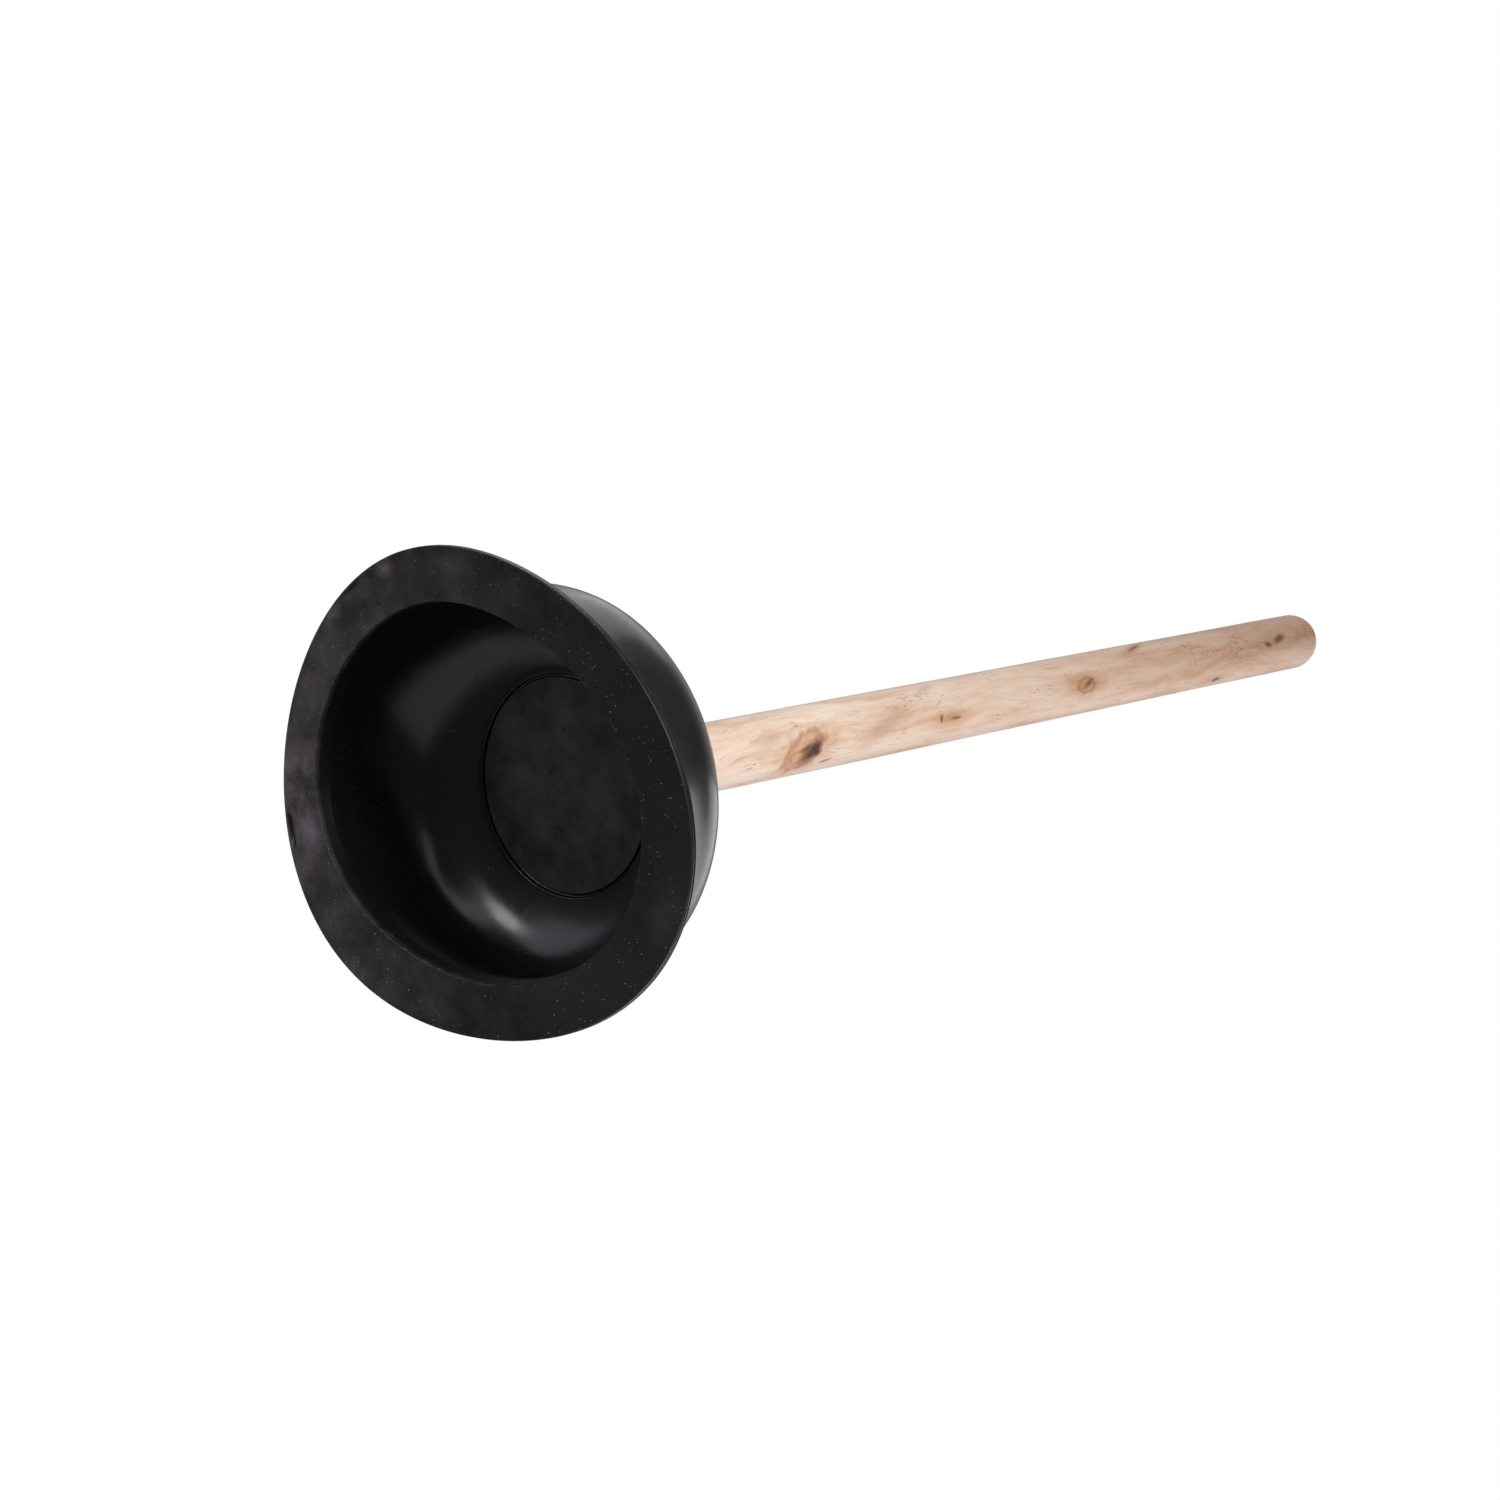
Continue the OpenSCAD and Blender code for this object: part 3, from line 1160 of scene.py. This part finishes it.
@dataclass
class WoodenHandle:
    """The turned dowel: threaded end, straight shaft, domed free end. Sizes are millimetres."""

    around: int = 96
    radius: float = 11.0
    tenon_radius: float = 10.58
    foot: float = 52.3
    shaft_foot: float = 84.3
    top: float = 498.0
    thread_pitch: float = 5.0
    thread_deep: float = 1.3
    unround: float = 0.03  # size of each wave left by sanding

    def profile(self) -> np.ndarray:
        """Draws the handle's section from its foot to its tip.

        Returns:
            (radius, height) rows in millimetres.
        """
        dome = self.top - self.radius
        tenon, foot, shaft_foot = self.tenon_radius, self.foot, self.shaft_foot
        return np.concatenate(
            [
                straight((1.0, foot), (tenon - 1.5, foot), 3),
                straight((tenon - 1.3, foot + 0.2), (tenon, foot + 1.5), 3),
                straight((tenon, foot + 1.9), (tenon, shaft_foot - 0.4), 78),
                straight((tenon, shaft_foot), (self.radius - 0.1, shaft_foot), 2),
                straight((self.radius, shaft_foot + 0.15), (self.radius, dome), 140),
                arc((0.0, dome), self.radius, (3.0, 88.0), 24),
            ]
        )

    def surface(self) -> np.ndarray:
        """Turns the section round the axis.

        A helix of thread_deep is cut into the end: depth * (0.5 - 0.5 cos(turns - angle))^1.5, fading out at
        both ends. Sanding leaves the shaft a few hundredths of a millimetre off round, in slow waves.

        Returns:
            (section, around, 3) points in metres.
        """
        section = self.profile()
        angle = np.linspace(0.0, math.tau, self.around, endpoint=False)[None, :]
        radius, height = section[:, :1], section[:, 1:]
        span = smoothstep(self.foot + 1.0, self.foot + 4.0, height)
        span = span * (1.0 - smoothstep(self.shaft_foot - 6.0, self.shaft_foot - 2.0, height))
        helix = (0.5 - 0.5 * np.cos(math.tau * height / self.thread_pitch - angle)) ** 1.5
        cut = span * helix * self.thread_deep
        wave = np.sin(height / 23.0 + 2.0 * angle) + np.sin(height / 61.0 - 3.0 * angle) - 2.0
        wave = self.unround * wave
        shaft = smoothstep(self.shaft_foot, self.shaft_foot + 4.0, height)
        turned = (radius - cut + wave * shaft * np.clip(radius / self.radius, 0, 1)) * MM
        return np.stack([turned * np.cos(angle), turned * np.sin(angle), height * MM + 0 * angle], axis=-1)

    def build(self, finish: SandedDowel) -> bpy.types.Object:
        """Makes the handle, dresses it and lets it ride on its own body.

        Args:
            finish: the wood.

        Returns:
            The handle.
        """
        points = self.surface()
        start = np.array([0.0, 0.0, self.foot]) * MM
        end = np.array([0.0, 0.0, self.top]) * MM
        handle = revolve("wooden_handle", points, start, end, {})
        handle.data.materials.append(finish.material(self.radius * MM))
        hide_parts("handle")
        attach(handle, "handle")
        LOG.info("wooden_handle: %d faces", len(handle.data.polygons))
        return handle


class LampShape(Enum):
    """Outline of a softbox, as Blender names it."""

    BOX = "RECTANGLE"
    ROUND = "ELLIPSE"


@dataclass(frozen=True)
class Softbox:
    """A soft lamp: where it hangs, its size in metres, the radiance of its face, and its colour.

    The direction is from the object. The wide side lies as nearly as it can along the direction called along.
    """

    name: str
    direction: tuple[float, float, float]
    distance: float
    wide: float
    tall: float
    radiance: float
    shape: LampShape = LampShape.BOX
    along: tuple[float, float, float] = (1.0, 0.0, 0.0)
    tint: tuple[float, float, float] = (1.0, 1.0, 1.0)

    def build(self, aim: Vector) -> bpy.types.Object:
        """Hangs the lamp facing the aim point, with the power that gives its face the radiance.

        Args:
            aim: point that the lamp faces.

        Returns:
            The lamp.
        """
        area = self.wide * self.tall * (math.pi / 4 if self.shape is LampShape.ROUND else 1.0)
        light = bpy.data.lights.new(self.name, "AREA")
        light.shape = self.shape.value
        light.size = self.wide
        light.size_y = self.tall
        light.energy = self.radiance * math.pi * area
        light.color = self.tint
        lamp = bpy.data.objects.new(self.name, light)
        bpy.context.scene.collection.objects.link(lamp)
        lamp.visible_camera = False
        away = Vector(self.direction).normalized()
        side = Vector(self.along)
        side = (side - away * side.dot(away)).normalized()
        turned = Matrix((side, away.cross(side), away)).transposed()
        lamp.matrix_world = Matrix.Translation(aim + away * self.distance) @ turned.to_4x4()
        return lamp


@dataclass
class Studio:
    """Pale floor, white surround, soft lamps and the camera. Lengths are metres and angles degrees."""

    aim: tuple[float, float, float] = (0.0003, 0.0, 0.1325)
    camera_distance: float = 0.9087
    camera_elevation: float = -50.4
    camera_roll: float = 78.72
    lens: float = 69.02
    sensor: float = 36.0
    floor_half: float = 3.0
    floor_hex: str = "#e6e4e1"
    floor_glow: float = 0.72  # share of its own light, so that the lamps leave no hot spot on it
    floor_fade: tuple[float, float] = (0.15, 0.75)  # radii between which it turns white, so no horizon shows
    glow_way: tuple[float, float, float] = (0.0, 0.637, 0.770)  # towards the middle of the bright backdrop
    glow_edge: tuple[float, float] = (0.55, 0.85)  # cosines between which the backdrop brightens
    glow_level: tuple[float, float] = (0.085, 0.56)  # its radiance below and above those
    gap_edge: tuple[float, float] = (0.975, 0.945)  # cosines round the dark cone, a thin line on the bell
    lamp_aim: tuple[float, float, float] = (0.0, 0.0, 0.05)
    lamps: tuple[Softbox, ...] = (
        Softbox("front", (-0.20, -0.8, 0.0), 0.6, 0.36, 0.3, 10.5),
        Softbox("side", (0.941, 0.036, 0.23), 0.9, 0.4, 0.5, 6.5),
        Softbox("over_left", (-0.62, 0.19, 0.76), 1.5, 0.8, 0.8, 0.85),
        Softbox("over_right", (0.35, -0.05, 0.93), 1.5, 0.8, 0.8, 1.6),
        Softbox("key_under", (-0.56, 0.19, -0.81), 1.0, 0.29, 0.29, 7.0, LampShape.ROUND),
        Softbox("strip_under", (-0.79, -0.47, -0.43), 1.0, 1.5, 0.32, 1.1, along=(0.19, 0.76, -0.68)),
        Softbox("fill_under", (-0.52, -0.74, -0.43), 1.0, 0.9, 0.24, 0.7, along=(-0.43, 0.07, 0.38)),
        Softbox("low_back", (-0.62, 0.53, -0.60), 1.0, 0.6, 0.5, 0.95, along=(0.8, 0.4, 0.0), tint=VIOLET),
        Softbox("low_right", (0.86, 0.24, -0.44), 1.0, 2.3, 1.4, 0.42, along=(0.1, 1.0, 0.0), tint=VIOLET),
    )

    def camera(self) -> bpy.types.Object:
        """Stands the camera below the lip's plane, aimed at the handle's axis and rolled.

        Returns:
            The camera.
        """
        data = bpy.data.cameras.new("camera")
        data.lens = self.lens
        data.sensor_width = self.sensor
        data.clip_start = 0.01
        data.clip_end = 50.0
        camera = bpy.data.objects.new("camera", data)
        bpy.context.scene.collection.objects.link(camera)
        tilt = math.radians(self.camera_elevation)
        back = Vector((0.0, -math.cos(tilt), math.sin(tilt)))
        level = back.to_track_quat("Z", "Y").to_matrix()
        turned = level @ Matrix.Rotation(math.radians(self.camera_roll), 3, "Z")
        stand = Vector(self.aim) + back * self.camera_distance
        camera.matrix_world = Matrix.Translation(stand) @ turned.to_4x4()
        bpy.context.scene.camera = camera
        return camera

    def floor(self) -> bpy.types.Object:
        """Lays the floor: seen from above only, so that a view from under it still shows the cup's mouth.

        Returns:
            The floor.
        """
        half = self.floor_half
        mesh = bpy.data.meshes.new("floor")
        corners = [(-half, -half, 0), (half, -half, 0), (half, half, 0), (-half, half, 0)]
        mesh.from_pydata(corners, [], [(0, 1, 2, 3)])
        floor = bpy.data.objects.new("floor", mesh)
        bpy.context.scene.collection.objects.link(floor)
        mesh.materials.append(self.card())
        floor.visible_diffuse = False
        floor.visible_glossy = False
        floor.visible_shadow = False
        floor.visible_transmission = False
        return floor

    def card(self) -> bpy.types.Material:
        """Builds the floor's card: part lit and part its own light, fading to white, and clear from below.

        Returns:
            The new material.
        """
        mat = bpy.data.materials.new("matt_white_card")
        mat.use_nodes = True
        tree = mat.node_tree
        tree.nodes.clear()
        card = add_node(tree, "ShaderNodeBsdfDiffuse", {"Color": linear(self.floor_hex)})
        lit = add_node(tree, "ShaderNodeEmission", {"Color": linear(self.floor_hex), "Strength": 1.0})
        white = add_node(tree, "ShaderNodeEmission", {"Color": WHITE, "Strength": 1.0})
        place = add_node(tree, "ShaderNodeTexCoord").outputs["Object"]
        away = add_node(tree, "ShaderNodeVectorMath", {"operation": "LENGTH"}, {0: place})
        near, far = self.floor_fade
        fade = add_node(
            tree,
            "ShaderNodeMapRange",
            {"interpolation_type": "SMOOTHSTEP", "From Min": near, "From Max": far},
            {"Value": away.outputs["Value"]},
        )
        pale = add_node(
            tree,
            "ShaderNodeMixShader",
            {0: self.floor_glow},
            {1: card.outputs[0], 2: lit.outputs[0]},
        )
        faded = add_node(
            tree,
            "ShaderNodeMixShader",
            {},
            {0: fade.outputs[0], 1: pale.outputs[0], 2: white.outputs[0]},
        )
        clear = add_node(tree, "ShaderNodeBsdfTransparent")
        under = add_node(tree, "ShaderNodeNewGeometry").outputs["Backfacing"]
        both = add_node(tree, "ShaderNodeMixShader", {}, {0: under, 1: faded.outputs[0], 2: clear.outputs[0]})
        add_node(tree, "ShaderNodeOutputMaterial", {}, {"Surface": both.outputs[0]})
        return mat

    def surround(self) -> None:
        """Lights the room: white where it is seen directly; as a light, a bright backdrop above and behind.

        The backdrop's radiance rises with the cosine to its middle, and falls to nothing in a cone round it.
        """
        world = bpy.data.worlds.new("white_surround")
        bpy.context.scene.world = world
        world.use_nodes = True
        tree = world.node_tree
        tree.nodes.clear()
        way = add_node(tree, "ShaderNodeTexCoord").outputs["Generated"]
        cosine = add_node(
            tree, "ShaderNodeVectorMath", {"operation": "DOT_PRODUCT", 1: self.glow_way}, {0: way}
        ).outputs["Value"]
        (start, end), (low, high), (closed, opened) = self.glow_edge, self.glow_level, self.gap_edge
        backdrop = add_node(
            tree,
            "ShaderNodeMapRange",
            {"From Min": start, "From Max": end, "To Min": low, "To Max": high},
            {"Value": cosine},
        )
        gap = add_node(
            tree,
            "ShaderNodeMapRange",
            {"From Min": closed, "From Max": opened},
            {"Value": cosine},
        )
        ring = add_node(
            tree,
            "ShaderNodeMath",
            {"operation": "MULTIPLY"},
            {0: backdrop.outputs[0], 1: gap.outputs[0]},
        )
        seen = add_node(tree, "ShaderNodeLightPath").outputs["Is Camera Ray"]
        glow = add_node(tree, "ShaderNodeMix", {3: 1.0}, {0: seen, 2: ring.outputs[0]})
        back = add_node(tree, "ShaderNodeBackground", {"Color": WHITE}, {"Strength": glow.outputs[0]})
        add_node(tree, "ShaderNodeOutputWorld", {}, {"Surface": back.outputs[0]})

    def build(self) -> None:
        """Sets up the camera, the floor, the surround and the lamps."""
        bpy.context.scene.view_settings.view_transform = "Standard"
        self.camera()
        self.floor()
        self.surround()
        for lamp in self.lamps:
            lamp.build(Vector(self.lamp_aim))


def main() -> None:
    """Builds the plunger piece by piece around the CAD frame."""
    logging.basicConfig(level=logging.INFO, format="%(name)s %(message)s")
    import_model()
    Studio().build()
    RubberCup().build(CuredRubber())
    WoodenHandle().build(SandedDowel())


if __name__ == "__main__":
    main()
